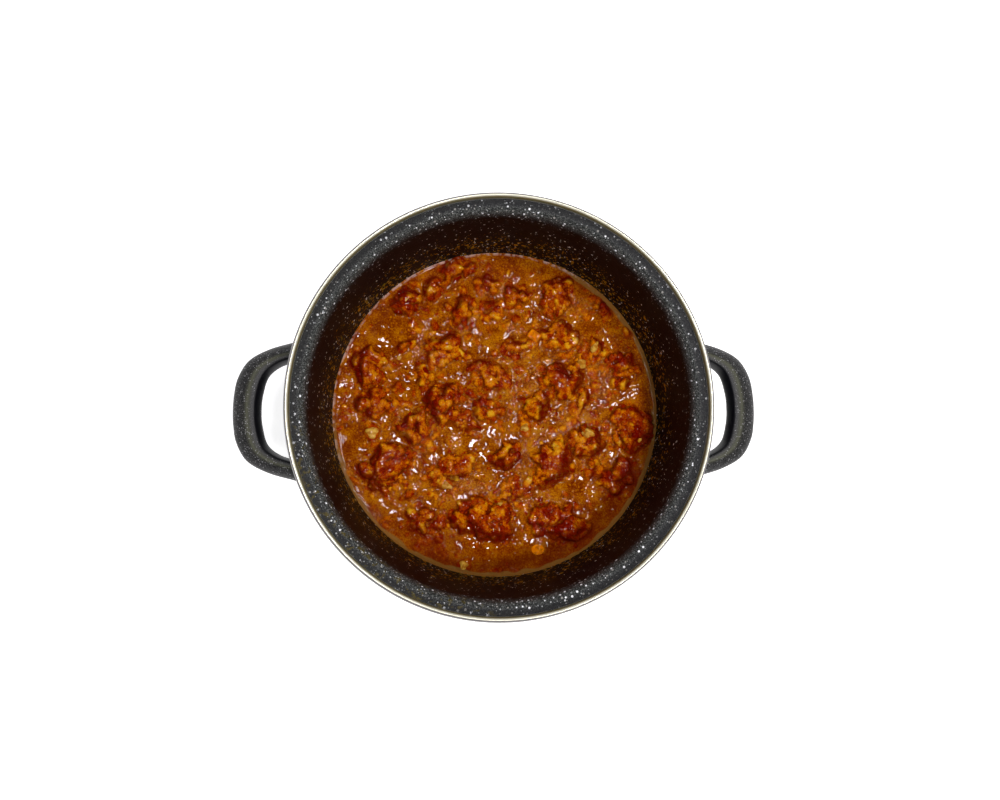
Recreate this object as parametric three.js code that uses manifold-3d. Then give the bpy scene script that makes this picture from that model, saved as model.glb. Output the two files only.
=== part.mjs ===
// A two-handled enamelled pot, half full of beef ragu. Millimetres, +Z up.
// The origin is the middle of the base, and the handles reach out along X.
import * as THREE from "three";
import { RoundedBoxGeometry } from "three/addons/geometries/RoundedBoxGeometry.js";
import { mergeVertices } from "three/addons/utils/BufferGeometryUtils.js";
import Module from "manifold-3d";

// Driving dimensions of the pot.
const potHeight = 150;
const mouthRadius = 120; // inner edge of the steel ring
const wallThickness = 1.6;
const baseThickness = 2.4;
const cornerRadius = 24; // inside, where the wall turns into the base
const ledgeRadius = 116.2; // where the lid's ledge starts to bend down
const ledgeDrop = 6; // from the rim's top to the ledge's inner edge
const bendWidth = 4.2; // the bend from the ledge to the wall, across
const bendHeight = 11.8; // and down
const raguLevel = 70;
const raguRadius = 109; // the wall's inside radius at the ragu's level
const wallSlope = 0.0484; // radius gained for each millimetre of height
const gap = 0.3; // between pieces that touch
const sides = 60; // of everything that is turned

// The handles, as seen from above. Each outline holds half of a handle, from its root to its middle.
const handleTop = 101;
const handleDepth = 13;
const rootDepth = 19;
const outerOutline = [
  [104, 51],
  [127, 44.8],
  [146, 39],
  [158.5, 31.6],
  [165.2, 20],
  [167.2, 9],
];
const innerOutline = [
  [104, 36],
  [122, 32.6],
  [137.5, 28.2],
  [145.6, 21.6],
  [149, 11],
  [149.9, 4.5],
];
const outerReach = 167.6;
const innerReach = 150;

// Clumps of mince that stand out of the sauce: x, y, length, width, turn in degrees, height.
const clumps = [
  [-25, 96, 20, 17, 10, 4.5],
  [-61, 74, 23, 20, 60, 5],
  [-42, 83, 15, 13, 0, 3.5],
  [-23, 70, 21, 17, 15, 5.5],
  [-1, 87, 15, 12, 30, 3.5],
  [-4, 70, 14, 13, 0, 4],
  [14, 80, 20, 16, -20, 4.5],
  [42, 78, 30, 20, 80, 5],
  [70, 71, 18, 13, -60, 3.5],
  [-59, 47, 12, 10, 0, 3.5],
  [-84, 30, 26, 22, 50, 5],
  [-82, 6, 21, 18, 30, 4.5],
  [-34, 6, 28, 23, 20, 7],
  [-55, -10, 30, 18, 35, 5.5],
  [-6, 2, 20, 16, -10, 4.5],
  [43, 21, 30, 22, 25, 6],
  [26, 4, 20, 17, 40, 5],
  [86, 34, 24, 16, -30, 5],
  [86, 20, 12, 12, 0, 4.5],
  [61, -20, 22, 20, 0, 6],
  [91, -12, 28, 27, 70, 6],
  [81, -45, 26, 19, 60, 5.5],
  [37, -34, 36, 22, 75, 6.5],
  [6, -28, 22, 20, 0, 5],
  [-73, -36, 33, 25, 30, 6],
  [-61, -51, 17, 10, -15, 3.5],
  [-46, -73, 30, 17, -5, 5],
  [-8, -70, 42, 25, -5, 7],
  [41, -74, 40, 23, -14, 6],
  [-30, 44, 34, 20, 10, 2.5],
  [-4, 24, 30, 17, -25, 3],
  [17, 44, 24, 15, 20, 2],
  [-48, 26, 24, 15, 60, 2.5],
  [43, 53, 24, 18, 0, 3],
  [-31, -38, 30, 20, 10, 2.5],
  [14, -51, 26, 13, 20, 2.5],
  [56, 7, 20, 14, -40, 2.5],
  [60, 39, 34, 14, 25, 3.5],
  [64, -38, 16, 12, 20, 3],
  [-20, -6, 18, 12, -30, 3],
];
const outlineWobble = 0.12; // unevenness of a clump's outline, as a share of its size
const reliefStep = 3.7; // between neighbouring points of the ragu's surface
const reliefShake = 0.6; // how far those points may lie apart from a square grid, as a share of the step
const reliefSeed = 24;
const crumbRelief = 3; // from the lowest to the highest crumb of a clump
const sauceRelief = 1.2; // the same in the sauce, where fewer crumbs show
const sauceSwell = 0.7; // height of the low waves in the sauce
const calmEdge = 3; // the sauce is level this close to the wall
const vegetableRise = 0.8; // of a vegetable piece's middle above what it lies in

// Vegetable pieces that show at the top: name, kind, x, y, length, width, thickness, turn in degrees.
const vegetables = [
  ["carrot_1", "dice", 26.3, 51.6, 9, 7, 6, -35],
  ["onion_1", "petal", -22.1, -101.5, 8, 6, 4, 10],
  ["onion_2", "petal", -82.9, -13.5, 9.5, 8, 5, 40],
  ["onion_3", "petal", 67.2, 43.3, 9, 4.5, 4, 65],
  ["onion_4", "petal", 58.8, 32.3, 8, 6.5, 4.5, 40],
  ["onion_5", "petal", 19.3, -11, 8, 5.5, 4.5, 70],
  ["onion_6", "petal", 61.5, -15, 9, 6, 4.5, -10],
  ["onion_7", "petal", -33.8, -48.6, 8.5, 5, 4, -20],
];

const colours = {
  enamel: new THREE.MeshStandardMaterial({ color: 0x2c2d2f, roughness: 0.35, metalness: 0 }),
  steel: new THREE.MeshStandardMaterial({ color: 0xdad8d0, roughness: 0.25, metalness: 1 }),
  handle: new THREE.MeshStandardMaterial({ color: 0x3e3f3e, roughness: 0.5, metalness: 0 }),
  ragu: new THREE.MeshStandardMaterial({ color: 0x8c4212, roughness: 0.35, metalness: 0 }),
  carrot: new THREE.MeshStandardMaterial({ color: 0xd9701a, roughness: 0.4, metalness: 0 }),
  onion: new THREE.MeshStandardMaterial({ color: 0xc0924c, roughness: 0.4, metalness: 0 }),
};

const wasm = await Module();
wasm.setup();

// ---- Helpers ----

// A closed geometry as a solid, its shared vertices merged.
function solidFrom(geometry) {
  const bare = geometry.clone();
  bare.deleteAttribute("normal");
  bare.deleteAttribute("uv");
  const merged = mergeVertices(bare);
  return new wasm.Manifold(
    new wasm.Mesh({
      numProp: 3,
      vertProperties: new Float32Array(merged.attributes.position.array),
      triVerts: new Uint32Array(merged.index.array),
    }),
  );
}

function geometryFrom(solid) {
  const mesh = solid.getMesh();
  const geometry = new THREE.BufferGeometry();
  geometry.setAttribute("position", new THREE.BufferAttribute(mesh.vertProperties, mesh.numProp));
  geometry.setIndex(new THREE.BufferAttribute(mesh.triVerts, 1));
  geometry.computeVertexNormals();
  return geometry;
}

// Turns a profile of [radius, height] points round the Z axis.
function turned(profile) {
  const points = profile.map(([radius, height]) => new THREE.Vector2(radius, height));
  return new THREE.LatheGeometry(points, sides).rotateX(Math.PI / 2);
}

// Points on an elliptical arc, both ends included, with angles in degrees.
function arc(centre, halfWidth, halfHeight, from, to, steps) {
  return Array.from({ length: steps + 1 }, (unused, i) => {
    const angle = THREE.MathUtils.degToRad(from + ((to - from) * i) / steps);
    return [centre[0] + halfWidth * Math.cos(angle), centre[1] + halfHeight * Math.sin(angle)];
  });
}

// Repeatable random numbers from 0 to 1.
function randomSource(seed) {
  let state = seed;
  return () => {
    state = (state + 0x6d2b79f5) | 0;
    let mixed = Math.imul(state ^ (state >>> 15), 1 | state);
    mixed = (mixed + Math.imul(mixed ^ (mixed >>> 7), 61 | mixed)) ^ mixed;
    return ((mixed ^ (mixed >>> 14)) >>> 0) / 4294967296;
  };
}

// A closed skin over a row of equal rings of points, with a flat cap at each end.
function lofted(rings) {
  const count = rings[0].length;
  const points = rings.flat();
  const faces = [];
  for (let ring = 0; ring < rings.length - 1; ring++) {
    for (let i = 0; i < count; i++) {
      const here = ring * count + i;
      const next = ring * count + ((i + 1) % count);
      faces.push(here, here + count, next, next, here + count, next + count);
    }
  }
  const last = (rings.length - 1) * count;
  for (let i = 1; i < count - 1; i++) {
    faces.push(0, i, i + 1, last, last + i + 1, last + i);
  }
  const geometry = new THREE.BufferGeometry().setFromPoints(points);
  geometry.setIndex(faces);
  return geometry;
}

function mesh(name, geometry, material) {
  const made = new THREE.Mesh(geometry, material);
  made.name = name;
  return made;
}

// ---- The pot ----

function wallRadius(height) {
  return raguRadius + (height - raguLevel) * wallSlope;
}

const bendTop = potHeight - ledgeDrop;
const bendCentre = [ledgeRadius, bendTop - bendHeight];
const cornerHeight = baseThickness + cornerRadius;
const cornerSteps = 4;
const bendSteps = 3;
const cornerCentre = [wallRadius(cornerHeight) - cornerRadius, cornerHeight];

// The pot's inside from the middle of its base up to the ledge, moved outwards by an offset.
function insideProfile(offset) {
  const corner = arc(cornerCentre, cornerRadius + offset, cornerRadius + offset, 270, 360, cornerSteps);
  const bend = arc(bendCentre, bendWidth - offset, bendHeight - offset, 180, 90, bendSteps);
  return [[0, baseThickness - offset], ...corner, ...bend];
}

// The rolled edge stands in the steel ring's groove.
const edgeInner = mouthRadius + 1;
const edgeOuter = mouthRadius + 2.2;
const edgeTop = potHeight - 1.9;
const lipUnder = potHeight - 4.4; // the underside of the ring's inner lip

function potBody() {
  const inside = [
    ...insideProfile(0),
    [mouthRadius - 1.2, bendTop + 0.8],
    [edgeInner, lipUnder - gap],
    [edgeInner, edgeTop],
  ];
  const outside = insideProfile(wallThickness);
  for (const point of outside.slice(0, 2)) {
    point[1] = 0;
  }
  const outerEdge = [
    [edgeOuter, edgeTop],
    [edgeOuter, bendTop - 0.4],
    [edgeOuter - 1.2, bendTop - 1],
  ];
  return turned([...outside, ...outerEdge.reverse(), ...inside.reverse()]);
}

function rimRing() {
  const beadWidth = 2.8;
  const skirtOuter = mouthRadius + 3.4;
  const skirtFoot = potHeight - 9;
  const bead = arc([mouthRadius + beadWidth / 2, potHeight - 2.2], beadWidth / 2, 2.2, 180, 0, 4);
  return turned([
    [mouthRadius, lipUnder],
    [edgeInner - gap, lipUnder],
    [edgeInner - gap, edgeTop + gap],
    [edgeOuter + gap, edgeTop + gap],
    [edgeOuter + gap, skirtFoot],
    [skirtOuter, skirtFoot],
    [skirtOuter, potHeight - 3.6],
    [mouthRadius + beadWidth, potHeight - 2.9],
    ...bead.reverse(),
    [mouthRadius, lipUnder],
  ]);
}

// ---- The handles ----

// The handle's section: share of the way from the inner to the outer outline, and height below its top.
const handleSection = [
  [0, 9],
  [0.08, 1.9],
  [0.16, 0.5],
  [0.3, 0],
  [0.46, 0.5],
  [0.72, 2.4],
  [0.9, 4.6],
  [0.98, 6.4],
  [1, 8],
  [0.96, 10],
  [0.84, 11.8],
  [0.6, 13],
  [0.3, 13],
  [0.08, 11.6],
];
const handleSteps = 24;

// The whole outline of a handle, from one root to the other, as evenly spread points.
function wholeOutline(half, reach) {
  const points = [
    ...half.map(([x, y]) => new THREE.Vector3(x, y, 0)),
    new THREE.Vector3(reach, 0, 0),
    ...half.map(([x, y]) => new THREE.Vector3(x, -y, 0)).reverse(),
  ];
  return new THREE.CatmullRomCurve3(points, false, "centripetal").getSpacedPoints(handleSteps);
}

// What the wall and its gap take away from a handle's roots.
function wallCutter() {
  const low = handleTop - 2 * rootDepth;
  const high = handleTop + rootDepth;
  const clear = wallThickness + gap;
  return solidFrom(
    turned([
      [0, low],
      [wallRadius(low) + clear, low],
      [wallRadius(high) + clear, high],
      [0, high],
    ]),
  );
}

// The right-hand handle, or with a turn of half a circle the left-hand one.
function handle(turn) {
  const outer = wholeOutline(outerOutline, outerReach);
  const inner = wholeOutline(innerOutline, innerReach);
  const rings = outer.map((outerPoint, step) => {
    const fromMiddle = Math.abs((2 * step) / handleSteps - 1);
    const deepening = Math.max(0, fromMiddle - 0.5) * 2;
    const depth = 1 + (rootDepth / handleDepth - 1) * deepening;
    return handleSection.map(([share, below]) => {
      const point = inner[step].clone().lerp(outerPoint, share);
      point.z = handleTop - below * depth;
      return point;
    });
  });
  const trimmed = solidFrom(lofted(rings)).subtract(wallCutter());
  return geometryFrom(trimmed).rotateZ(turn);
}

// ---- The ragu ----

// Height of a clump above the sauce at a point, or zero outside the clump: a flat dome with steep edges.
function clumpHeight([clumpX, clumpY, length, width, turn, height], x, y) {
  const angle = THREE.MathUtils.degToRad(turn);
  const along = (x - clumpX) * Math.cos(angle) + (y - clumpY) * Math.sin(angle);
  const across = (y - clumpY) * Math.cos(angle) - (x - clumpX) * Math.sin(angle);
  const bearing = Math.atan2(across / width, along / length);
  const wobble = Math.sin(3 * bearing + clumpX) + Math.sin(5 * bearing + clumpY);
  const outline = 1 + (outlineWobble * wobble) / 2;
  const reach = (2 * Math.hypot(along / length, across / width)) / outline;
  return reach < 1 ? height * Math.sqrt(1 - reach ** 3) : 0;
}

function highestClump(x, y) {
  return Math.max(...clumps.map((clump) => clumpHeight(clump, x, y)));
}

function sauceWaves(x, y) {
  return (Math.sin(x / 13 + y / 31) + Math.sin(y / 11 - x / 27)) / 2;
}

// The ragu's surface over a point, with a share from 0 to 1 that says how high the crumb there stands.
function surfaceHeight(x, y, crumbShare) {
  const fromWall = raguRadius - Math.hypot(x, y);
  const calm = THREE.MathUtils.smoothstep(fromWall, calmEdge, 3 * calmEdge);
  const clump = highestClump(x, y);
  const relief = clump > 0 ? crumbRelief : sauceRelief;
  const crumb = relief * (crumbShare - 0.5);
  return raguLevel + calm * (Math.max(clump, sauceSwell * sauceWaves(x, y)) + crumb);
}

// A block whose top is the ragu's surface. Its points are shaken off their square grid by a seeded draw.
function surfaceBlock() {
  const random = randomSource(reliefSeed);
  const steps = 2 * Math.ceil(raguRadius / reliefStep) + 2;
  const low = -baseThickness;
  const rings = [];
  for (let row = 0; row <= steps; row++) {
    const rowY = (steps / 2 - row) * reliefStep;
    const ring = [new THREE.Vector3((-steps / 2) * reliefStep, rowY, low)];
    for (let column = 0; column <= steps; column++) {
      const inside = row > 0 && row < steps && column > 0 && column < steps;
      const shake = inside ? reliefShake * reliefStep : 0;
      const x = (column - steps / 2) * reliefStep + shake * (random() - 0.5);
      const y = rowY + shake * (random() - 0.5);
      ring.push(new THREE.Vector3(x, y, surfaceHeight(x, y, random())));
    }
    ring.push(new THREE.Vector3((steps / 2) * reliefStep, rowY, low));
    rings.push(ring);
  }
  return solidFrom(lofted(rings));
}

// The pot's hollow less the gap, up to well above the ragu.
function hollow() {
  const high = raguLevel + 30;
  const under = insideProfile(-gap).slice(0, cornerSteps + 2);
  return solidFrom(turned([...under, [wallRadius(high) - gap, high], [0, high]]));
}

// A cut dice with its edges worn round.
function dice(length, width, thickness) {
  return new RoundedBoxGeometry(length, width, thickness, 1, thickness / 5);
}

// A curved flake from one layer of an onion, thin at its ends.
function petal(length, width, thickness) {
  const geometry = new THREE.SphereGeometry(1, 8, 5);
  geometry.scale(length / 2, width / 2, thickness / 2);
  const position = geometry.attributes.position;
  for (let i = 0; i < position.count; i++) {
    const alongShare = position.getX(i) / (length / 2);
    position.setZ(i, position.getZ(i) - (thickness / 3) * alongShare * alongShare);
  }
  return geometry;
}

const vegetableShapes = { dice, petal };

// A vegetable piece where it lies, half sunk in the ragu, and larger all round by an allowance.
function vegetable([, kind, x, y, length, width, thickness, turn], allowance) {
  const shape = vegetableShapes[kind](
    length + 2 * allowance,
    width + 2 * allowance,
    thickness + 2 * allowance,
  );
  shape.rotateZ(THREE.MathUtils.degToRad(turn));
  shape.translate(x, y, surfaceHeight(x, y, 0.5) + vegetableRise);
  return shape;
}

// Sauce, clumps and crumbs in one solid, with a pocket under each vegetable piece.
function ragu() {
  const whole = hollow().intersect(surfaceBlock());
  const pocketed = vegetables.reduce(
    (left, piece) => left.subtract(solidFrom(vegetable(piece, 1.5 * gap))),
    whole,
  );
  return geometryFrom(pocketed);
}

const object = new THREE.Group();
object.add(mesh("pot_body", potBody(), colours.enamel));
object.add(mesh("rim_ring", rimRing(), colours.steel));
object.add(mesh("handle_right", handle(0), colours.handle));
object.add(mesh("handle_left", handle(Math.PI), colours.handle));
object.add(mesh("ragu", ragu(), colours.ragu));
for (const piece of vegetables) {
  const colour = piece[1] === "dice" ? colours.carrot : colours.onion;
  object.add(mesh(piece[0], vegetable(piece, 0), colour));
}

export default object;
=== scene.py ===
"""A two-handled enamelled pot, half full of beef ragu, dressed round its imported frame.

Sizes are in millimetres and are turned into metres where a mesh is made.
The pot's middle is at the origin, +X points at the right-hand handle, and +Z is up.
"""
import math

import bmesh
import bpy
import numpy as np
from mathutils import Matrix, Vector


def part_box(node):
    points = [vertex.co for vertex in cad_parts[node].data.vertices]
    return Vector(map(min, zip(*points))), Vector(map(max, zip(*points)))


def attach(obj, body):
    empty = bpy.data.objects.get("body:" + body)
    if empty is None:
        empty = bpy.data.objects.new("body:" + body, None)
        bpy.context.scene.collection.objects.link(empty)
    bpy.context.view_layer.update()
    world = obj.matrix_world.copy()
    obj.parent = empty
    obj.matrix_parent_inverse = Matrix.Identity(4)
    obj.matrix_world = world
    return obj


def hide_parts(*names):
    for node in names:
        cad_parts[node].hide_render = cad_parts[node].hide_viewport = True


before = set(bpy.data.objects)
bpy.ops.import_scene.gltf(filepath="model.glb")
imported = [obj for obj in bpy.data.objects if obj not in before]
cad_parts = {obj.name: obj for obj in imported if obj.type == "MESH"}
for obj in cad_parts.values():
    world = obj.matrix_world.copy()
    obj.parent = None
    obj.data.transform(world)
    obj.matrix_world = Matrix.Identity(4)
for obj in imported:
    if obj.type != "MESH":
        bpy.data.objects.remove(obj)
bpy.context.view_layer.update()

METRES = 0.001  # in a millimetre
rng = np.random.default_rng(11)

# ---- Driving dimensions, as in the part's source ----

POT_HEIGHT = 150
MOUTH_RADIUS = 120  # inner edge of the steel ring
WALL_THICKNESS = 1.6
BASE_THICKNESS = 2.4
CORNER_RADIUS = 24
LEDGE_RADIUS = 116.2
LEDGE_DROP = 6
BEND_WIDTH = 4.2
BEND_HEIGHT = 11.8
RAGU_LEVEL = 70
RAGU_RADIUS = 109
WALL_SLOPE = 0.0484
GAP = 0.3
TURNED_SIDES = 288
PROFILE_STEPS = 16  # of each rounded part of the pot's profile
AXIS_HOLE = 0.01  # radius at which the turned base ends
SHARP_ANGLE = 40  # degrees

HANDLE_TOP = 101
HANDLE_DEPTH = 13
ROOT_DEPTH = 19
OUTER_OUTLINE = [(104, 51), (127, 44.8), (146, 39), (158.5, 31.6), (165.2, 20), (167.2, 9)]
INNER_OUTLINE = [(104, 36), (122, 32.6), (137.5, 28.2), (145.6, 21.6), (149, 11), (149.9, 4.5)]
OUTER_REACH = 167.6
INNER_REACH = 150
HANDLE_STEPS = 120
SECTION_STEPS = 60
# Shares of the way across a handle between which its painted shade strip on the inner side and its painted
# highlight on the ridge fade.
SHADED_STRIP_FADE = (0.24, 0.19)
RIDGE_SHEEN_INNER_FADE = (0.22, 0.27)
RIDGE_SHEEN_OUTER_FADE = (0.52, 0.42)
RIDGE_SHEEN_STRENGTH = 0.75
TOP_DEPTH = 6  # the part of the section that faces up is less deep than this

# The handle's section: share of the way from the inner to the outer outline, and height below its top.
HANDLE_SECTION = [
    (0, 9), (0.08, 1.9), (0.16, 0.5), (0.3, 0), (0.46, 0.5), (0.72, 2.4), (0.9, 4.6),
    (0.98, 6.4), (1, 8), (0.96, 10), (0.84, 11.8), (0.6, 13), (0.3, 13), (0.08, 11.6),
]

# Clumps of mince that stand out of the sauce: x, y, length, width, turn in degrees, height,
# and tone, from 0 for dark red to 1 for pale yellow.
CLUMPS = [
    (-25, 96, 20, 17, 10, 4.5, 0.42),
    (-61, 74, 23, 20, 60, 5, 0.38),
    (-42, 83, 15, 13, 0, 3.5, 0.44),
    (-23, 70, 21, 17, 15, 5.5, 0.48),
    (-1, 87, 15, 12, 30, 3.5, 0.44),
    (-4, 70, 14, 13, 0, 4, 0.48),
    (14, 80, 20, 16, -20, 4.5, 0.46),
    (42, 78, 30, 20, 80, 5, 0.46),
    (70, 71, 18, 13, -60, 3.5, 0.34),
    (-59, 47, 12, 10, 0, 3.5, 0.6),
    (-84, 30, 26, 22, 50, 5, 0.4),
    (-82, 6, 21, 18, 30, 4.5, 0.46),
    (-34, 6, 28, 23, 20, 7, 0.42),
    (-55, -10, 30, 18, 35, 5.5, 0.4),
    (-6, 2, 20, 16, -10, 4.5, 0.5),
    (43, 21, 30, 22, 25, 6, 0.44),
    (26, 4, 20, 17, 40, 5, 0.62),
    (86, 34, 24, 16, -30, 5, 0.38),
    (86, 20, 12, 12, 0, 4.5, 0.44),
    (61, -20, 22, 20, 0, 6, 0.52),
    (91, -12, 28, 27, 70, 6, 0.4),
    (81, -45, 26, 19, 60, 5.5, 0.26),
    (37, -34, 36, 22, 75, 6.5, 0.5),
    (6, -28, 22, 20, 0, 5, 0.5),
    (-73, -36, 33, 25, 30, 6, 0.4),
    (-61, -51, 17, 10, -15, 3.5, 0.56),
    (-46, -73, 30, 17, -5, 5, 0.5),
    (-8, -70, 42, 25, -5, 7, 0.42),
    (41, -74, 40, 23, -14, 6, 0.34),
    (-30, 44, 34, 20, 10, 2.5, 0.62),
    (-4, 24, 30, 17, -25, 3, 0.5),
    (17, 44, 24, 15, 20, 2, 0.6),
    (-48, 26, 24, 15, 60, 2.5, 0.54),
    (43, 53, 24, 18, 0, 3, 0.64),
    (-31, -38, 30, 20, 10, 2.5, 0.54),
    (14, -51, 26, 13, 20, 2.5, 0.56),
    (56, 7, 20, 14, -40, 2.5, 0.64),
    (60, 39, 34, 14, 25, 3.5, 0.58),
    (64, -38, 16, 12, 20, 3, 0.5),
    (-20, -6, 18, 12, -30, 3, 0.46),
]
OUTLINE_WOBBLE = 0.12
SAUCE_SWELL = 0.7
CALM_EDGE = 3

# How many random lumps there are, before those in pools or too close to others are dropped.
LOBE_AREA = 26  # square millimetres of a clump's box for each lobe
CRUMBS_IN_AREA = 0.6  # for each square millimetre of it
SKIN_SHARE = 0.03  # of the crumbs
LESSER_LUMPS = 800
STRAY_CRUMBS = 1900
FINE_CRUMBS = 3200

# How many of the kept crumbs are loose, at most.
LARGE_LOOSE = 620
SMALL_LOOSE = 2450

# Stretches of smooth sauce, where hardly a crumb shows: x, y, length, width, turn in degrees.
POOLS = [
    (-76, 52, 48, 26, 55),
    (30, 96, 70, 14, -15),
    (-70, 87, 30, 10, 45),
    (5, -97, 90, 16, 0),
    (74, -72, 46, 24, 45),
    (66, 56, 40, 12, -30),
    (-62, -18, 28, 11, 35),
    (-15, -22, 34, 8, 15),
    (48, -52, 26, 10, 40),
    (-96, -18, 14, 40, 10),
    (2, 52, 30, 8, -20),
    (100, 20, 10, 60, 10),
]

# Bits sunk in the sauce, which only just show: kind, x, y, length, width, turn in degrees.
SUNK = [
    ("carrot", 27, -92, 13, 10.5, 0),
    ("onion", 2, -61, 6, 4, 30),
    ("onion", 96, -20, 5, 3.5, 70),
    ("onion", -59, 75, 5.5, 4, -20),
    ("onion", -65, 37, 5, 4, 50),
    ("onion", 54, 28, 5, 3.5, 10),
]
SUNK_THICKNESS = 2
SUNK_DEPTH = 0.75

# Vegetable pieces: CAD node, kind, length, width, thickness, turn in degrees.
VEGETABLES = [
    ("carrot_1", "dice", 9, 7, 6, -35),
    ("onion_1", "petal", 8, 6, 4, 10),
    ("onion_2", "petal", 9.5, 8, 5, 40),
    ("onion_3", "petal", 9, 4.5, 4, 65),
    ("onion_4", "petal", 8, 6.5, 4.5, 40),
    ("onion_5", "petal", 8, 5.5, 4.5, 70),
    ("onion_6", "petal", 9, 6, 4.5, -10),
    ("onion_7", "petal", 8.5, 5, 4, -20),
]


# ---- Mesh helpers ----

def add_object(name, data):
    thing = bpy.data.objects.new(name, data)
    bpy.context.scene.collection.objects.link(thing)
    return thing


def make_piece(name, points, faces, material, replaces=(), attributes=None):
    """A smooth mesh piece from points in millimetres, riding on the pot."""
    data = bpy.data.meshes.new(name)
    scaled = np.asarray(points, float) * METRES
    data.from_pydata(scaled.tolist(), [], [list(map(int, face)) for face in faces])
    for key, values in (attributes or {}).items():
        layer = data.attributes.new(key, "FLOAT", "POINT")
        layer.data.foreach_set("value", np.asarray(values, np.float32))
    data.shade_smooth()
    data.materials.append(material)
    piece = add_object(name, data)
    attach(piece, "root")
    if replaces:
        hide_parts(*replaces)
    return piece


def grid_faces(rows, columns, close_rows=False):
    """Quads between a grid's points. Its columns wrap round, and its rows where they are closed."""
    row = np.arange(rows if close_rows else rows - 1)
    row, column = [part.ravel() for part in np.meshgrid(row, np.arange(columns), indexing="ij")]
    next_row = (row + 1) % rows
    next_column = (column + 1) % columns
    return np.stack(
        [row * columns + column, row * columns + next_column,
         next_row * columns + next_column, next_row * columns + column], axis=1)


def angles_round(count):
    """Evenly spread angles round a circle."""
    return np.arange(count) * 2 * math.pi / count


def on_circle(radius, angle):
    return radius * np.cos(angle), radius * np.sin(angle)


def rotated(x, y, angle):
    """Places turned about the origin by an angle."""
    return x * np.cos(angle) - y * np.sin(angle), x * np.sin(angle) + y * np.cos(angle)


def turned_piece(name, profile, material, node, attributes=None):
    """A closed profile of (radius, height) turned round the Z axis, with its sharp edges kept."""
    profile = np.asarray(profile, float)
    angle = angles_round(TURNED_SIDES)
    height = np.repeat(profile[:, 1:], TURNED_SIDES, 1)
    points = np.stack([*on_circle(profile[:, :1], angle), height], axis=2).reshape(-1, 3)
    faces = grid_faces(len(profile), TURNED_SIDES, close_rows=True)
    piece = make_piece(name, points, faces, material, [node], attributes)
    piece.data.set_sharp_from_angle(angle=math.radians(SHARP_ANGLE))


def arc(centre, half_width, half_height, start, end, steps):
    """Points on an ellipse from one angle to another, in degrees."""
    angle = np.radians(np.linspace(start, end, steps + 1))
    return [
        (centre[0] + half_width * math.cos(a), centre[1] + half_height * math.sin(a)) for a in angle]


def smooth_path(corners, count, closed=False):
    """Evenly spread points on a centripetal Catmull-Rom curve through the corners."""
    samples = 24  # between one corner and the next
    corners = np.asarray(corners, float)
    if closed:
        padded = np.vstack([corners[-1:], corners, corners[:2]])
    else:
        padded = np.vstack([2 * corners[0] - corners[1], corners, 2 * corners[-1] - corners[-2]])
    dense = []
    for a, b, c, d in zip(padded, padded[1:], padded[2:], padded[3:]):
        knots = np.cumsum([0] + [math.sqrt(np.linalg.norm(q - p)) for p, q in ((a, b), (b, c), (c, d))])
        t = np.linspace(knots[1], knots[2], samples, endpoint=False)[:, None]

        def blend(p, q, start, end):
            share = (t - knots[start]) / (knots[end] - knots[start])
            return p * (1 - share) + q * share

        ab, bc, cd = blend(a, b, 0, 1), blend(b, c, 1, 2), blend(c, d, 2, 3)
        dense.append(blend(blend(ab, bc, 0, 2), blend(bc, cd, 1, 3), 1, 2))
    dense = np.vstack(dense + [corners[:1] if closed else corners[-1:]])
    length = np.concatenate([[0], np.cumsum(np.linalg.norm(np.diff(dense, axis=0), axis=1))])
    wanted = np.linspace(0, length[-1], count + 1 if closed else count)
    if closed:
        wanted = wanted[:-1]
    return np.stack([np.interp(wanted, length, dense[:, i]) for i in range(corners.shape[1])], axis=1)


# ---- Materials ----

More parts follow.
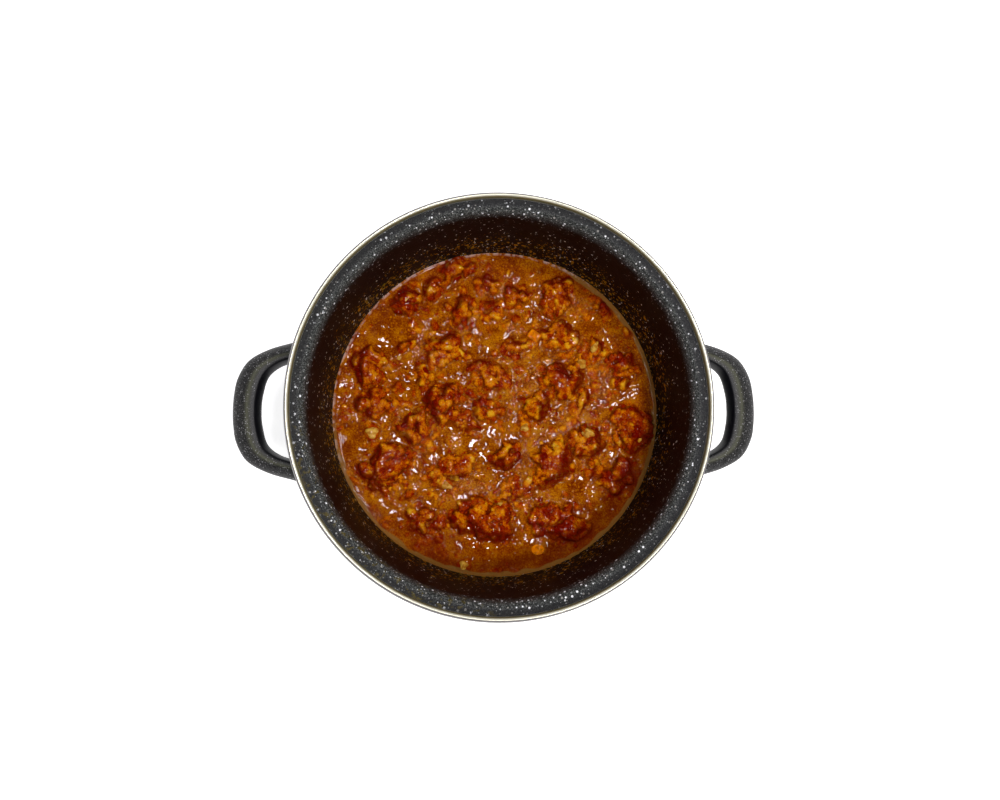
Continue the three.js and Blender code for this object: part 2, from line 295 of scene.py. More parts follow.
class Look:
    """A material's node tree, built one node at a time."""

    def __init__(self, name):
        self.material = bpy.data.materials.new(name)
        self.material.use_nodes = True
        self.tree = self.material.node_tree
        self.surface = self.tree.nodes["Principled BSDF"]
        self.colour = None

    def add(self, kind, output=0, settings=None, **sockets):
        """Adds a node, sets or links its sockets by name or number, and returns one of its outputs."""
        node = self.tree.nodes.new("ShaderNode" + kind)
        for key, value in (settings or {}).items():
            setattr(node, key, value)
        for key, value in sockets.items():
            self.put(node.inputs[int(key[1:]) if key[0] == "_" else key.replace("_", " ")], value)
        return node.outputs[output]

    def put(self, socket, value):
        if isinstance(value, bpy.types.NodeSocket):
            self.tree.links.new(value, socket)
        else:
            socket.default_value = value

    def set(self, **sockets):
        """Sets or links sockets of the surface."""
        for key, value in sockets.items():
            self.put(self.surface.inputs[key.replace("_", " ")], value)

    def math(self, operation, *values):
        sockets = {f"_{i}": value for i, value in enumerate(values)}
        return self.add("Math", settings={"operation": operation}, **sockets)

    def plus(self, first, second):
        return self.math("ADD", first, second)

    def times(self, first, second):
        return self.math("MULTIPLY", first, second)

    def larger(self, first, second):
        return self.math("MAXIMUM", first, second)

    def place(self):
        return self.add("TexCoord", output="Object")

    def attribute(self, name):
        return self.add("Attribute", output="Fac", settings={"attribute_name": name})

    def noise(self, grain, detail=2.0, roughness=0.5, vector=None):
        """Noise from 0 to 1 whose blotches are about a grain, in millimetres, across."""
        return self.add("TexNoise", output="Fac", Vector=vector or self.place(),
                        Scale=1 / (grain * METRES), Detail=detail, Roughness=roughness)

    def ramp(self, value, low, high, out_low=0.0, out_high=1.0):
        """Maps low..high smoothly to out_low..out_high, and holds the ends outside it."""
        return self.add("MapRange", settings={"interpolation_type": "SMOOTHSTEP"}, Value=value,
                        From_Min=low, From_Max=high, To_Min=out_low, To_Max=out_high)

    def zone(self, length, start, end, out_start=0.0, out_end=1.0):
        """A ramp over a length in metres, which starts and ends at places in millimetres."""
        return self.ramp(length, start * METRES, end * METRES, out_start, out_end)

    def colours(self, value, *stops):
        """A colour ramp with stops of (position, colour)."""
        output = self.add("ValToRGB", Fac=value)
        elements = output.node.color_ramp.elements
        for position, _ in stops[2:]:
            elements.new(position)
        for element, (position, colour) in zip(elements, stops):
            element.position = position
            element.color = (*colour, 1)
        return output

    def between(self, value, pair, low=0, high=1):
        """A colour ramp from one colour, where the value is low, to another, where it is high."""
        return self.colours(value, (low, pair[0]), (high, pair[1]))

    def mix(self, share, first, second, blend="MIX"):
        node = self.add("Mix", output="Result", settings={"data_type": "RGBA", "blend_type": blend}).node
        for number, value in ((0, share), (6, first), (7, second)):
            if not isinstance(value, bpy.types.NodeSocket) and number:
                value = (*value, 1)
            self.put(node.inputs[number], value)
        return node.outputs[2]

    def paint(self, share, colour):
        """Lays a colour over what is there already."""
        self.colour = self.mix(share, self.colour, colour)

    def specks(self, cell, smallest, largest, share):
        """Round specks, one at most in a cell: 1 inside and 0 outside. Sizes are radii in millimetres."""
        cells = self.add(
            "TexVoronoi", settings={"feature": "F1"}, Vector=self.place(), Scale=1 / (cell * METRES))
        chances = self.add("SeparateColor", Color=cells.node.outputs["Color"]).node
        radius = self.ramp(chances.outputs[0], 0.0, 1.0, smallest / cell, largest / cell)
        inside = self.math("LESS_THAN", cells.node.outputs["Distance"], radius)
        there = self.math("LESS_THAN", chances.outputs[1], share)
        return self.times(inside, there)

    def bump(self, height, depth):
        """Bump of a depth in millimetres."""
        self.set(Normal=self.add("Bump", Strength=1.0, Distance=depth * METRES, Height=height))


def radius_and_height(look):
    """Distance from the pot's axis and height above its base, both in metres."""
    place = look.add("SeparateXYZ", Vector=look.place()).node
    flat = look.add("CombineXYZ", X=place.outputs[0], Y=place.outputs[1])
    radius = look.add("VectorMath", output="Value", settings={"operation": "LENGTH"}, _0=flat)
    return radius, place.outputs[2]


# Colours are linear red, green and blue. A pair runs from dark to pale.
LEDGE_GROUND = (0.008, 0.009, 0.010), (0.055, 0.057, 0.055)
# The bend's dusty enamel is painted paler: a painted highlight where the glossy bend reflects the lights.
BEND_DUST_AND_SHEEN = (0.026, 0.028, 0.026), (0.160, 0.167, 0.158)
WALL_GROUND = (0.0025, 0.0016, 0.0012), (0.006, 0.0045, 0.005)
WHITE_SPECKS = (0.95, 0.97, 1.0)
GREY_SPECKS = (0.42, 0.44, 0.44)
WALL_SPECKS = (0.95, 0.91, 0.84)
DIM_SPECKS = (0.13, 0.12, 0.12)
OIL = (0.085, 0.062, 0.001)
SPLASHES = (0.34, 0.24, 0.012), (0.60, 0.27, 0.010)

# Heights on the pot, in millimetres, between which the enamel's look changes.
LEDGE_FADE = (134, 143)
SPECKS_FADE = (130, 142)
WALL_SPECKS_FADE = (110, 128)
SPLASHES_FADE = (125, 72)
# The same for distances from the pot's axis: where the painted highlight on the bend fades into the ledge,
# and where the ledge darkens in painted shadow by the ring.
BEND_SHEEN_FADE = (113.5, 117.5)
RING_SHADOW = (115.5, 118.5)


def paint_specks(look, height, speckled):
    """White specks where the enamel is speckled, and fainter ones on the wall below."""
    sparse = look.specks(3.0, 0.28, 0.68, 0.8)
    dense = look.specks(1.7, 0.2, 0.42, 0.6)
    dim = look.specks(2.0, 0.16, 0.4, 0.45)
    faint = look.larger(look.specks(4.2, 0.25, 0.75, 0.75), look.specks(2.7, 0.2, 0.5, 0.6))
    faint = look.times(faint, look.zone(height, *WALL_SPECKS_FADE, 1.0, 0.3))
    look.paint(look.times(dim, 0.8), DIM_SPECKS)
    look.paint(faint, WALL_SPECKS)
    look.paint(look.times(dense, speckled), GREY_SPECKS)
    look.paint(look.times(sparse, speckled), WHITE_SPECKS)


def paint_oil(look, radius, ledge):
    """A little oil smeared on the ledge, on the near side at the left."""
    place = look.add("SeparateXYZ", Vector=look.place()).node
    near_left = look.math("DIVIDE", look.plus(place.outputs[0], place.outputs[1]), radius)
    smear = look.times(look.ramp(look.noise(4, 3, 0.6), 0.54, 0.66), look.ramp(near_left, -0.9, -1.3))
    smear = look.times(smear, look.times(ledge, 0.7))
    look.paint(smear, OIL)


def paint_splashes(look, height, inner):
    """Splashes of sauce, which get sparser up the wall."""
    low_wall = look.zone(height, *SPLASHES_FADE)
    patch = look.times(look.ramp(look.noise(16), 0.3, 0.55), low_wall)
    drops = look.larger(look.specks(3.0, 0.4, 1.1, 0.8), look.specks(4.6, 0.5, 1.6, 0.7))
    drops = look.times(drops, look.math("GREATER_THAN", patch, look.noise(1.5, 1)))
    spray = look.times(look.specks(2.2, 0.3, 0.75, 0.75), look.ramp(low_wall, 0.05, 0.55))
    drops = look.larger(drops, look.times(spray, 0.8))
    flakes = look.times(look.specks(8, 0.5, 1.5, 0.3), look.ramp(low_wall, 0.0, 0.3))
    splash = look.times(look.larger(drops, flakes), inner)
    look.paint(look.times(splash, 0.85), look.between(look.noise(4), SPLASHES, 0.35, 0.62))


def enamel_material():
    """Black enamel with white specks. Inside, it is duller, and sauce is splashed up the wall."""
    look = Look("speckled_enamel")
    radius, height = radius_and_height(look)
    outer = look.attribute("outer")
    inner = look.math("SUBTRACT", 1, outer)
    ledge = look.times(look.zone(height, *LEDGE_FADE), inner)
    speckled = look.larger(look.zone(height, *SPECKS_FADE), look.times(outer, 0.6))
    dust = look.ramp(look.noise(0.8, 2, 0.7), 0.44, 0.66)
    # The bend is painted paler than the ledge, a painted highlight that fades into the ledge's own colour.
    bend_dust_and_sheen = look.between(dust, BEND_DUST_AND_SHEEN)
    ledge_ground = look.between(dust, LEDGE_GROUND)
    ground = look.mix(look.zone(radius, *BEND_SHEEN_FADE), bend_dust_and_sheen, ledge_ground)
    look.colour = look.between(look.noise(9), WALL_GROUND, 0.35, 0.7)
    look.paint(ledge, ground)
    paint_specks(look, height, speckled)
    shade = look.zone(radius, *RING_SHADOW, 1.0, 0.35)
    grey = look.add("CombineColor", Red=shade, Green=shade, Blue=shade)
    look.colour = look.mix(1.0, look.colour, grey, "MULTIPLY")
    paint_oil(look, radius, ledge)
    paint_splashes(look, height, inner)
    look.set(
        Base_Color=look.colour, Roughness=look.ramp(ledge, 0, 1, 0.5, 0.35), Specular_IOR_Level=0.08,
        Coat_Weight=look.times(outer, 0.5), Coat_Roughness=0.08)
    look.bump(look.noise(2.2), 0.12)
    return look.material


CREAM_STEEL = (0.64, 0.63, 0.48), (0.85, 0.84, 0.70)
# Painted shade and reflection in thin bands round the ring: where each starts and is full, in millimetres
# from the axis, and its colour.
RING_SHADE_BANDS = [
    (120.56, 120.36, (0.26, 0.24, 0.12)),
    (121.45, 121.75, (0.16, 0.15, 0.16)),
    (122.85, 123.00, (0.26, 0.25, 0.21)),
]
SKIRT_FADE = (146.6, 146.0)
SKIRT_STEEL = (0.66, 0.65, 0.62)


def steel_material():
    """Polished steel with faint lines running round the ring, and thin bands of painted shade and
    reflection.
    """
    look = Look("polished_steel")
    radius, height = radius_and_height(look)
    across = look.add("CombineXYZ", X=radius, Z=height)
    lines = look.noise(0.22, 2, 0.6, vector=across)
    look.colour = look.between(lines, CREAM_STEEL, 0.3, 0.7)
    # Thin bands of painted shade and reflection round the bead.
    for start, end, colour in RING_SHADE_BANDS:
        look.paint(look.zone(radius, start, end), colour)
    look.paint(look.zone(height, *SKIRT_FADE), SKIRT_STEEL)
    look.set(Base_Color=look.colour, Metallic=0.4, Roughness=0.3)
    return look.material


PLASTIC_GROUND = (0.010, 0.010, 0.010), (0.080, 0.080, 0.076)
PLASTIC_RIDGE_SHEEN = (0.115, 0.118, 0.080)
PLASTIC_SPECKS = (0.45, 0.45, 0.46)
PLASTIC_STRIP_SHADE = (0.0025, 0.0025, 0.004)


def handle_material():
    """Dark moulded plastic with fine pale specks, a painted highlight along its ridge, and painted shade
    as a black strip along its inner side.
    """
    look = Look("speckled_plastic")
    fine = look.noise(0.7, 2, 0.7)
    look.colour = look.between(look.ramp(fine, 0.42, 0.72), PLASTIC_GROUND)
    # Painted highlight on the ridge, where it faces up.
    look.paint(look.attribute("ridge_sheen"), PLASTIC_RIDGE_SHEEN)
    look.paint(look.times(look.specks(1.3, 0.18, 0.40, 0.65), 0.55), PLASTIC_SPECKS)
    # Painted shade: a near-black strip along the inner side, which faces the dark pot.
    look.paint(look.attribute("shaded_strip"), PLASTIC_STRIP_SHADE)
    look.set(Base_Color=look.colour, Roughness=0.4, Specular_IOR_Level=0.22)
    look.bump(look.noise(0.8), 0.05)
    return look.material


# Colours of the sauce and the mince by tone, from dark to pale.
SAUCE_TONES = [
    (0.28, (0.13, 0.014, 0.0001)), (0.46, (0.25, 0.050, 0.0002)),
    (0.60, (0.38, 0.105, 0.0003)), (0.76, (0.54, 0.20, 0.001)),
]
MINCE_TONES = [
    (0.10, (0.14, 0.002, 0.0001)), (0.32, (0.25, 0.011, 0.0001)), (0.50, (0.38, 0.050, 0.0001)),
    (0.66, (0.53, 0.125, 0.0002)), (0.82, (0.65, 0.22, 0.001)), (0.98, (0.72, 0.36, 0.01)),
]
PALE_GRAINS = (0.56, 0.18, 0.001)
DARK_GRAINS = (0.10, 0.008, 0.0001)
CREVICE_SHADE = (0.09, 0.001, 0.0001)
IN_SHADE = (0.11, 0.002, 0.0001)
SAUCE_FILM = (0.20, 0.086, 0.016)
RIM_HIGHLIGHT = (0.56, 0.40, 0.34)


def ragu_material():
    """Wet mince and sauce. The mesh's attributes say what shows where."""
    look = Look("ragu")
    meat, crevice_shade, tone, film, shade, relief, at_rim_highlight = [
        look.attribute(name) for name in ("meat", "crevice_shade", "tone", "film", "shade", "relief", "painted_rim_highlight")]
    grain = look.math("SUBTRACT", look.noise(1.1, 3, 0.8), 0.5)
    sauce_tone = look.plus(look.times(grain, 1.2), look.ramp(look.noise(9), 0.2, 0.8, 0.33, 0.67))
    # Raised places are painted paler and hollows darker: partly thinner sauce on the tops, partly painted
    # light from above.
    sauce_tone = look.plus(sauce_tone, look.times(relief, 0.06))
    look.colour = look.colours(sauce_tone, *SAUCE_TONES)
    pale = look.plus(look.specks(2.0, 0.35, 0.75, 0.6), look.specks(2.7, 0.35, 0.8, 0.5))
    look.paint(look.times(pale, 0.5), PALE_GRAINS)
    look.paint(look.times(look.specks(2.4, 0.3, 0.7, 0.5), 0.35), DARK_GRAINS)
    crumb_tone = look.plus(tone, look.times(grain, 1.15))
    # Crumb tops are painted paler and their lower parts darker: partly thinner sauce, partly painted light
    # from above.
    crumb_tone = look.plus(crumb_tone, look.times(relief, 0.16))
    look.paint(meat, look.colours(crumb_tone, *MINCE_TONES))
    # Painted shade, dark red, in the crevices between crumbs.
    look.paint(look.times(look.ramp(crevice_shade, 0.05, 0.95), 0.8), CREVICE_SHADE)
    look.paint(look.times(shade, 0.85), IN_SHADE)
    look.paint(look.ramp(film, 0.4, 0.85), SAUCE_FILM)
    # A painted highlight along the sauce's edge at the wall, on the far left.
    look.paint(look.times(at_rim_highlight, look.ramp(look.noise(4), 0.42, 0.60)), RIM_HIGHLIGHT)
    wet = look.times(look.ramp(meat, 0.3, 1.0, 0.32, 0.6), look.ramp(film, 0.0, 0.45, 1.0, 0.2))
    look.set(
        Base_Color=look.colour, Roughness=0.4, Specular_IOR_Level=0.0,
        Coat_Weight=wet, Coat_Roughness=0.04, Coat_IOR=1.45,
        Subsurface_Weight=0.15, Subsurface_Scale=METRES, Subsurface_Radius=(2.0, 0.6, 0.2))
    look.bump(look.noise(1.7), 0.22)
    return look.material


ONION_FLESH = (0.48, 0.20, 0.008), (0.74, 0.45, 0.07)
CARROT_FLESH = (0.66, 0.13, 0.0003), (0.82, 0.26, 0.0005)
SAUCE_STAIN = (0.34, 0.09, 0.001)


def vegetable_material(name, flesh_colours):
    """A soft wet vegetable with sauce on it."""
    look = Look(name)
    look.colour = look.between(look.noise(2.4), flesh_colours, 0.3, 0.7)
    look.paint(look.times(look.ramp(look.noise(2.6, 3), 0.44, 0.60), 0.7), SAUCE_STAIN)
    look.set(
        Base_Color=look.colour, Roughness=0.4, Specular_IOR_Level=0.0,
        Coat_Weight=0.45, Coat_Roughness=0.05,
        Subsurface_Weight=0.1, Subsurface_Scale=METRES, Subsurface_Radius=(2.0, 1.2, 0.5))
    look.bump(look.noise(2.0), 0.3)
    return look.material


def floor_material():
    """A pale table lit from within, so that it stays white under the pot's soft shadow."""
    look = Look("floor")
    look.set(Base_Color=(0.9, 0.9, 0.9, 1), Roughness=0.9)
    look.set(Emission_Color=(1, 1, 1, 1), Emission_Strength=0.85)
    return look.material


# ---- The pot ----

BEND_TOP = POT_HEIGHT - LEDGE_DROP
BEND_CENTRE = (LEDGE_RADIUS, BEND_TOP - BEND_HEIGHT)
CORNER_HEIGHT = BASE_THICKNESS + CORNER_RADIUS
EDGE_INNER = MOUTH_RADIUS + 1
EDGE_OUTER = MOUTH_RADIUS + 2.2
EDGE_TOP = POT_HEIGHT - 1.9
LIP_UNDER = POT_HEIGHT - 4.4


def wall_radius(height):
    return RAGU_RADIUS + (height - RAGU_LEVEL) * WALL_SLOPE


CORNER_CENTRE = (wall_radius(CORNER_HEIGHT) - CORNER_RADIUS, CORNER_HEIGHT)


def inside_profile(offset):
    """The pot's inside from the middle of its base up to the ledge, moved outwards by an offset."""
    corner = arc(CORNER_CENTRE, CORNER_RADIUS + offset, CORNER_RADIUS + offset, 270, 360, PROFILE_STEPS)
    bend = arc(BEND_CENTRE, BEND_WIDTH - offset, BEND_HEIGHT - offset, 180, 90, PROFILE_STEPS)
    return [(AXIS_HOLE, BASE_THICKNESS - offset)] + corner + bend


def pot_body():
    """The enamelled shell, which ends in an upright edge that the steel ring covers."""
    ledge_end = (MOUTH_RADIUS - 1.2, BEND_TOP + 0.8)
    shoulder = [(EDGE_OUTER - 1.2, BEND_TOP - 1), (EDGE_OUTER, BEND_TOP - 0.4)]
    inside = inside_profile(0) + [ledge_end, (EDGE_INNER, LIP_UNDER - GAP), (EDGE_INNER, EDGE_TOP)]
    outside = inside_profile(WALL_THICKNESS)
    outside[0] = (AXIS_HOLE, 0)
    outside[1] = (outside[1][0], 0)
    outside += shoulder + [(EDGE_OUTER, EDGE_TOP)]
    is_outer = np.repeat([1] * len(outside) + [0] * len(inside), TURNED_SIDES)
    profile = outside + inside[::-1]
    turned_piece("pot", profile, enamel_material(), "pot_body", {"outer": is_outer})


def rim_ring():
    """The steel ring: a rounded bead on the pot's edge, and a skirt down its outside."""
    bead_width = 2.8
    bead_rise = 2.2
    bead_foot = POT_HEIGHT - 2.9
    skirt_outer = MOUTH_RADIUS + 3.4
    skirt_top = POT_HEIGHT - 3.6
    skirt_foot = POT_HEIGHT - 9
    bead_centre = (MOUTH_RADIUS + bead_width / 2, POT_HEIGHT - bead_rise)
    bead = arc(bead_centre, bead_width / 2, bead_rise, 180, 0, steps=20)
    profile = [
        (MOUTH_RADIUS, LIP_UNDER), (EDGE_INNER - GAP, LIP_UNDER), (EDGE_INNER - GAP, EDGE_TOP + GAP),
        (EDGE_OUTER + GAP, EDGE_TOP + GAP), (EDGE_OUTER + GAP, skirt_foot), (skirt_outer, skirt_foot),
        (skirt_outer, skirt_top), (MOUTH_RADIUS + bead_width, bead_foot)] + bead[::-1]
    turned_piece("steel_ring", profile, steel_material(), "rim_ring")


# ---- The handles ----

def whole_outline(half, reach):
    """The outline of a handle from one root to the other."""
    mirrored = [(x, -y) for x, y in reversed(half)]
    return smooth_path(half + [(reach, 0)] + mirrored, HANDLE_STEPS)


def trimmed_to_wall(lines):
    """Cuts lines that run from root to root, indexed by step and line, where they meet the pot's wall."""
    steps = np.arange(len(lines))
    trimmed = np.empty_like(lines)
    for i in range(lines.shape[1]):
        line = lines[:, i]
        clear = np.hypot(line[:, 0], line[:, 1]) - wall_radius(line[:, 2]) - WALL_THICKNESS
        half = len(line) // 2
        start = np.interp(0, clear[:half], steps[:half])
        end = np.interp(0, clear[::-1][:half], steps[::-1][:half])
        wanted = np.linspace(start, end, len(line))
        trimmed[:, i] = np.stack([np.interp(wanted, steps, line[:, k]) for k in range(3)], axis=1)
    return trimmed


def handle(node, side, material):
    """A handle on one side: 1 for +X and -1 for -X."""
    outer = whole_outline(OUTER_OUTLINE, OUTER_REACH)[:, None]
    inner = whole_outline(INNER_OUTLINE, INNER_REACH)[:, None]
    section = smooth_path(HANDLE_SECTION, SECTION_STEPS, closed=True)
    from_middle = np.abs(np.linspace(-1, 1, HANDLE_STEPS))
    deepening = np.maximum(0, from_middle - 0.5) * 2
    depth = 1 + (ROOT_DEPTH / HANDLE_DEPTH - 1) * deepening
    share = section[None, :, :1]
    flat = inner * (1 - share) + outer * share
    height = HANDLE_TOP - section[None, :, 1] * depth[:, None]
    lines = trimmed_to_wall(np.concatenate([flat, height[:, :, None]], axis=2))
    points = lines.reshape(-1, 3) * (side, side, 1)
    faces = list(grid_faces(HANDLE_STEPS, SECTION_STEPS))
    faces.append(range(SECTION_STEPS - 1, -1, -1))
    faces.append(range((HANDLE_STEPS - 1) * SECTION_STEPS, HANDLE_STEPS * SECTION_STEPS))
    across = np.tile(section[:, 0], HANDLE_STEPS)
    is_top = np.tile(section[:, 1] < TOP_DEPTH, HANDLE_STEPS)
    # A painted highlight on the upward-facing ridge, and painted shade along the inner side.
    ridge_sheen = RIDGE_SHEEN_STRENGTH * smoothstep(across, *RIDGE_SHEEN_INNER_FADE) * smoothstep(across, *RIDGE_SHEEN_OUTER_FADE)
    values = {"shaded_strip": smoothstep(across, *SHADED_STRIP_FADE), "ridge_sheen": ridge_sheen * is_top}
    make_piece(node + "_grip", points, faces, material, [node], values)


# ---- The ragu's surface, worked out on a square map ----

MAP_STEP = 0.4
MAP_HALF = 112
map_line = np.arange(-MAP_HALF, MAP_HALF + MAP_STEP / 2, MAP_STEP)
map_x, map_y = np.meshgrid(map_line, map_line)
map_radius = np.hypot(map_x, map_y)


def blurred(field, grain):
    """A Gaussian blur whose standard deviation is a grain, in millimetres."""
    across = np.fft.rfftfreq(field.shape[1], MAP_STEP)
    along = np.fft.fftfreq(field.shape[0], MAP_STEP)
    keep = np.exp(-2 * (math.pi * grain) ** 2 * (along[:, None] ** 2 + across[None, :] ** 2))
    return np.fft.irfft2(np.fft.rfft2(field) * keep, field.shape)


def noise_map(grain):
    """Smooth random hills with a mean of zero and a standard deviation of one."""
    hills = blurred(rng.standard_normal(map_x.shape), grain)
    return (hills - hills.mean()) / hills.std()


def smoothstep(value, low, high):
    share = np.clip((value - low) / (high - low), 0, 1)
    return share * share * (3 - 2 * share)


def smooth_max(first, second, width):
    return (first + second + np.sqrt((first - second) ** 2 + width ** 2)) / 2


def sampled(field, x, y):
    """A map's value at points, between its four nearest samples."""
    furthest = len(map_line) - 1.001
    column = np.clip((x + MAP_HALF) / MAP_STEP, 0, furthest)
    row = np.clip((y + MAP_HALF) / MAP_STEP, 0, furthest)
    left, low = column.astype(int), row.astype(int)
    right_share, high_share = column - left, row - low
    below = field[low, left] * (1 - right_share) + field[low, left + 1] * right_share
    above = field[low + 1, left] * (1 - right_share) + field[low + 1, left + 1] * right_share
    return below * (1 - high_share) + above * high_share


# The outlines of clumps and crumbs follow this shaken grid, which makes them uneven.
warp_x = map_x + 0.14 * noise_map(0.8) + 0.9 * noise_map(3.5)
warp_y = map_y + 0.14 * noise_map(0.8) + 0.9 * noise_map(3.5)
WARP_MARGIN = 1.6  # how much wider a lump is looked for on that grid
FAR_DOWN = -1e3  # below everything

# A lump is (x, y, middle, length, width, rise, turn, tone), and these are a table's columns.
PLACE_X, PLACE_Y, MIDDLE, LENGTH, WIDTH, RISE, _, TONE = range(8)


def outline_factor(clump, bearing):
    """How many times as wide as its ellipse a clump is in a direction."""
    return 1 + OUTLINE_WOBBLE * (np.sin(3 * bearing + clump[0]) + np.sin(5 * bearing + clump[1])) / 2


def clump_reach(clump, x, y):
    """0 in the middle of a clump or a pool, and 1 at its outline."""
    clump_x, clump_y, length, width, turn = clump[:5]
    along, across = rotated(x - clump_x, y - clump_y, -math.radians(turn))
    bearing = np.arctan2(across / width, along / length)
    return 2 * np.hypot(along / length, across / width) / outline_factor(clump, bearing)


def map_window(middle, reach):
    """The rows or columns of a map that are within reach of a place."""
    first = int((middle - reach + MAP_HALF) / MAP_STEP)
    last = int((middle + reach + MAP_HALF) / MAP_STEP)
    return slice(max(0, first), last + 2)


def add_lumps(solid, tone, lumps):
    """Raises a map to the tops of lumps, and sets their tones."""
    for x, y, middle, length, width, rise, turn, lump_tone in lumps:
        reach = max(length, width) / 2 + WARP_MARGIN
        rows = map_window(y, reach)
        columns = map_window(x, reach)
        off_x, off_y = warp_x[rows, columns] - x, warp_y[rows, columns] - y
        along = (off_x * math.cos(turn) + off_y * math.sin(turn)) * 2 / length
        across = (off_y * math.cos(turn) - off_x * math.sin(turn)) * 2 / width
        room = 1 - along ** 2 - across ** 2
        top = np.where(room > 0, middle + rise * np.sqrt(np.clip(room, 0, None)), FAR_DOWN)
        patch = solid[rows, columns]
        higher = top > patch
        patch[higher] = top[higher]
        tone[rows, columns][higher] = lump_tone


def random_sizes(count, typical, spread, smallest, largest):
    """Sizes round a typical one, with a log-normal spread that is cut off at both ends."""
    return np.clip(rng.lognormal(math.log(typical), spread, count), smallest, largest)


def lumps_at(x, y, middle, size, rise, middle_tone):
    """Lumps of these sizes with random turns and tones, each rising by a share of its size."""
    count = len(x)
    flatness = rng.uniform(0.72, 1, count)
    rises = size * rise * rng.uniform(0.8, 1.2, count)
    turn = rng.uniform(0, math.pi, count)
    lump_tone = middle_tone + rng.normal(0, 0.12, count)
    return np.stack([x, y, middle, size, size * flatness, rises, turn, lump_tone], axis=1)


def places_in_clump(clump, count, furthest):
    """Random places in a clump, and how far out each is: 0 in its middle and 1 at its outline."""
    clump_x, clump_y, length, width, turn = clump[:5]
    bearing = rng.uniform(0, 2 * math.pi, count)
    reach = furthest * np.sqrt(rng.uniform(0, 1, count))
    along, across = on_circle(reach * outline_factor(clump, bearing), bearing)
    x, y = rotated(along * length / 2, across * width / 2, math.radians(turn))
    return clump_x + x, clump_y + y, reach


def places_in_sauce(count, busy):
    """Random places in the pot, few of them where a map says that little goes on."""
    radius = (RAGU_RADIUS - 2.5) * np.sqrt(rng.uniform(0, 1, count))
    bearing = rng.uniform(0, 2 * math.pi, count)
    x, y = on_circle(radius, bearing)
    keep = rng.uniform(0, 1, count) < 0.05 + 0.95 * sampled(busy, x, y)
    return x[keep], y[keep]


def lumps_in_sauce(count, busy, surfaces, sink, rise, middle_tone, **sizes):
    """Random lumps on the highest of some surfaces, each sunk in it by a share of its size."""
    x, y = places_in_sauce(count, busy)
    size = random_sizes(len(x), **sizes)
    middle = np.max([sampled(surface, x, y) for surface in surfaces], axis=0) - sink * size
    return lumps_at(x, y, middle, size, rise, middle_tone)


def spread_out(lumps, closeness):
    """Keeps the largest lumps, and those that are clear enough of larger ones."""
    from_axis = np.hypot(lumps[:, PLACE_X], lumps[:, PLACE_Y])
    lumps = lumps[from_axis + lumps[:, LENGTH] / 2 < RAGU_RADIUS - 0.8]
    lumps = lumps[np.argsort(-lumps[:, LENGTH])]
    kept = np.zeros(len(lumps), bool)
    for number, lump in enumerate(lumps):
        others = lumps[:number][kept[:number]]
        apart = np.hypot(others[:, PLACE_X] - lump[PLACE_X], others[:, PLACE_Y] - lump[PLACE_Y])
        kept[number] = np.all(apart > closeness * (others[:, LENGTH] + lump[LENGTH]))
    return lumps[kept]


def box_middle(node):
    """The middle of a CAD node's box, in millimetres."""
    low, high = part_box(node)
    return np.array((low + high) / 2) / METRES


def sauce_maps():
    """Maps of the sauce's level, and of where crumbs lie: 0 in a pool and 1 clear of it."""
    calm = smoothstep(RAGU_RADIUS - map_radius, CALM_EDGE, 3 * CALM_EDGE)
    waves = (np.sin(map_x / 13 + map_y / 31) + np.sin(map_y / 11 - map_x / 27)) / 2
    level = RAGU_LEVEL + calm * (SAUCE_SWELL * waves + 0.22 * noise_map(4) + 0.10 * noise_map(1.6))
    pools = np.min([clump_reach(pool, warp_x, warp_y) for pool in POOLS], axis=0)
    return level, smoothstep(pools, 0.75, 1.2)


def add_lobes(solid, tone, level, busy):
    """Makes each clump a heap of rounded lobes, with lesser lumps between the clumps."""
    for clump in CLUMPS:
        _, _, length, width, _, height, clump_tone = clump
        count = int(length * width / LOBE_AREA) + 3
        x, y, reach = places_in_clump(clump, count, furthest=0.95)
        size = rng.uniform(0.28, 0.5, count) * width * (1.15 - 0.5 * reach)
        middle = RAGU_LEVEL + height * (0.75 - 0.65 * reach ** 2) - 0.5
        add_lumps(solid, tone, lumps_at(x, y, middle, size, rise=0.32, middle_tone=clump_tone))
    add_lumps(solid, tone, lumps_in_sauce(
        LESSER_LUMPS, busy, [level], sink=0.16, rise=0.34, middle_tone=0.46,
        typical=4.2, spread=0.35, smallest=2.5, largest=9))


def crumbs_on_clumps(ground):
    """Crumbs of mince that cover the lobes. A few are skins: long, narrow, low and dark."""
    on_clumps = []
    for clump in CLUMPS:
        _, _, length, width, _, _, clump_tone = clump
        x, y, _ = places_in_clump(clump, int(length * width * CRUMBS_IN_AREA), furthest=1.0)
        size = random_sizes(len(x), typical=2.6, spread=0.33, smallest=1.6, largest=5)
        is_skin = rng.uniform(0, 1, len(x)) < SKIN_SHARE
        size[is_skin] = rng.uniform(4.0, 7.0, is_skin.sum())
        middle = sampled(ground, x, y) - 0.14 * size
        more = lumps_at(x, y, middle, size, rise=0.46, middle_tone=clump_tone)
        more[is_skin, MIDDLE] -= 0.16 * size[is_skin]
        more[is_skin, WIDTH] *= 0.45
        more[is_skin, TONE] = 0.2
        on_clumps.append(more)
    return spread_out(np.vstack(on_clumps), closeness=0.34)


def add_collars(solid, tone, crumbs):
    """Lets sauce climb a little up each crumb and each piece of vegetable."""
    beds = []
    for node, _, length, width, thickness, turn in VEGETABLES:
        x, y, middle = box_middle(node)
        bed_middle = middle - 0.1 * thickness
        beds.append((x, y, bed_middle, length + 1, width + 1, 0.4 * thickness, math.radians(turn), 0.5))
    collars = np.vstack([*crumbs, beds])
    collars[:, [LENGTH, WIDTH]] += 0.7
    collars[:, RISE] *= 0.8
    add_lumps(solid, tone, collars)


